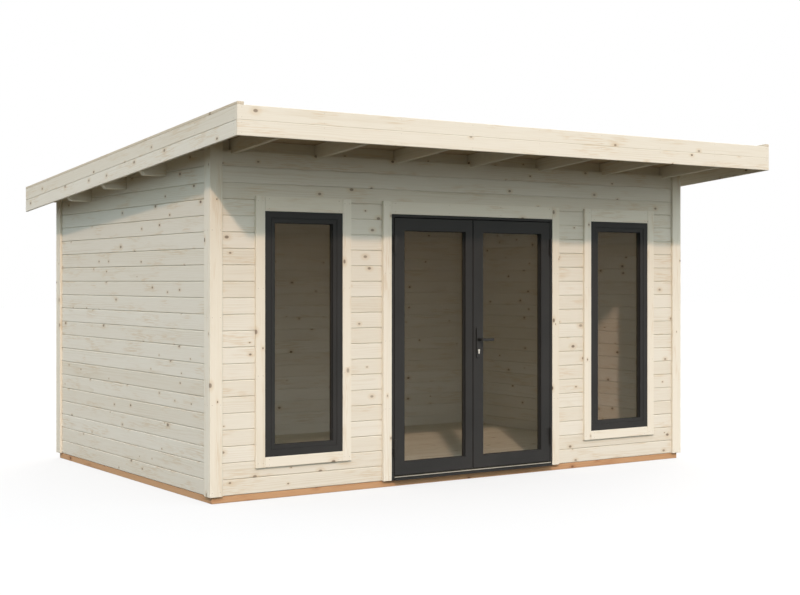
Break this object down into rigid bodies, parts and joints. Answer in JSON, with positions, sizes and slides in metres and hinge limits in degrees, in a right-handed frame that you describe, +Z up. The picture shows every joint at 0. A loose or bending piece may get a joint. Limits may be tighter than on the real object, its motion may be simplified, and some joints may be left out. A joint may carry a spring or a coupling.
{
  "type": "wooden shed",
  "caption": "Timber garden shed with a single-pitch overhanging roof, boarded walls, a glazed double door and tall fixed windows; shelters people, tools or furniture.",
  "frame": {"origin": "on the ground, under the middle of the roof's outline", "axes": "+Z up, +X to the right along the front, -Y out of the front door"},
  "size_m": [4.578, 3.771, 2.4901],
  "materials": {
    "spruce": "planed, untreated",
    "roof_timber": "planed, untreated",
    "treated_timber": "pressure treated",
    "floor_boards": "planed, untreated",
    "anthracite_paint": "satin paint",
    "clear_glass": "clear",
    "black_metal": "satin black",
    "lock_steel": "satin",
    "threshold_aluminium": "mill",
    "bitumen_felt": "mineral grit"
  },
  "bodies": {
    "shed": {"front_wall_left": "spruce", "front_wall_right": "spruce", "front_wall_head": "spruce", "left_wall": "spruce", "right_wall": "spruce", "back_wall": "spruce", "front_back_corner_boards": "spruce", "side_corner_boards": "spruce", "front_fascia": "spruce", "back_fascia": "spruce", "barge_boards": "spruce", "barge_caps": "spruce", "window_side_casings": "spruce", "window_cross_casings": "spruce", "door_side_casings": "spruce", "door_head_casing": "spruce", "rafters": "roof_timber", "lookouts": "roof_timber", "eaves_blocks": "roof_timber", "roof_deck": "roof_timber", "base_long_beams": "treated_timber", "base_end_beams": "treated_timber", "floor_joists": "treated_timber", "floor": "floor_boards", "left_window_frame": "anthracite_paint", "right_window_frame": "anthracite_paint", "left_window_sash": "anthracite_paint", "right_window_sash": "anthracite_paint", "door_jambs": "anthracite_paint", "door_head": "anthracite_paint", "door_sill": "anthracite_paint", "left_window_glass": "clear_glass", "right_window_glass": "clear_glass", "jamb_hinge_halves": "black_metal", "threshold_strip": "threshold_aluminium", "roof_felt": "bitumen_felt"},
    "left_leaf": {"left_door_leaf": "anthracite_paint", "left_door_glass": "clear_glass", "left_leaf_hinges": "black_metal"},
    "right_leaf": {"right_door_leaf": "anthracite_paint", "right_door_glass": "clear_glass", "right_leaf_hinges": "black_metal", "handle_plates": "black_metal", "lock_cylinder": "lock_steel"},
    "lever": {"handle_lever": "black_metal"}
  },
  "joints": [
    {"name": "left_door_swing", "type": "hinge", "parent": "shed", "child": "left_leaf", "pos_m": [-0.68775, -1.1495, 0.9], "axis": [0, 0, -1], "range_deg": [0, 120]},
    {"name": "right_door_swing", "type": "hinge", "parent": "shed", "child": "right_leaf", "pos_m": [0.72075, -1.1495, 0.9], "axis": [0, 0, 1], "range_deg": [0, 120]},
    {"name": "lever_turn", "type": "hinge", "parent": "right_leaf", "child": "lever", "pos_m": [0.0425, -1.1395, 1.009], "axis": [0, 1, 0], "range_deg": [0, 40], "stiffness_Nm_per_rad": 1.2, "springref_deg": -28.65}
  ]
}
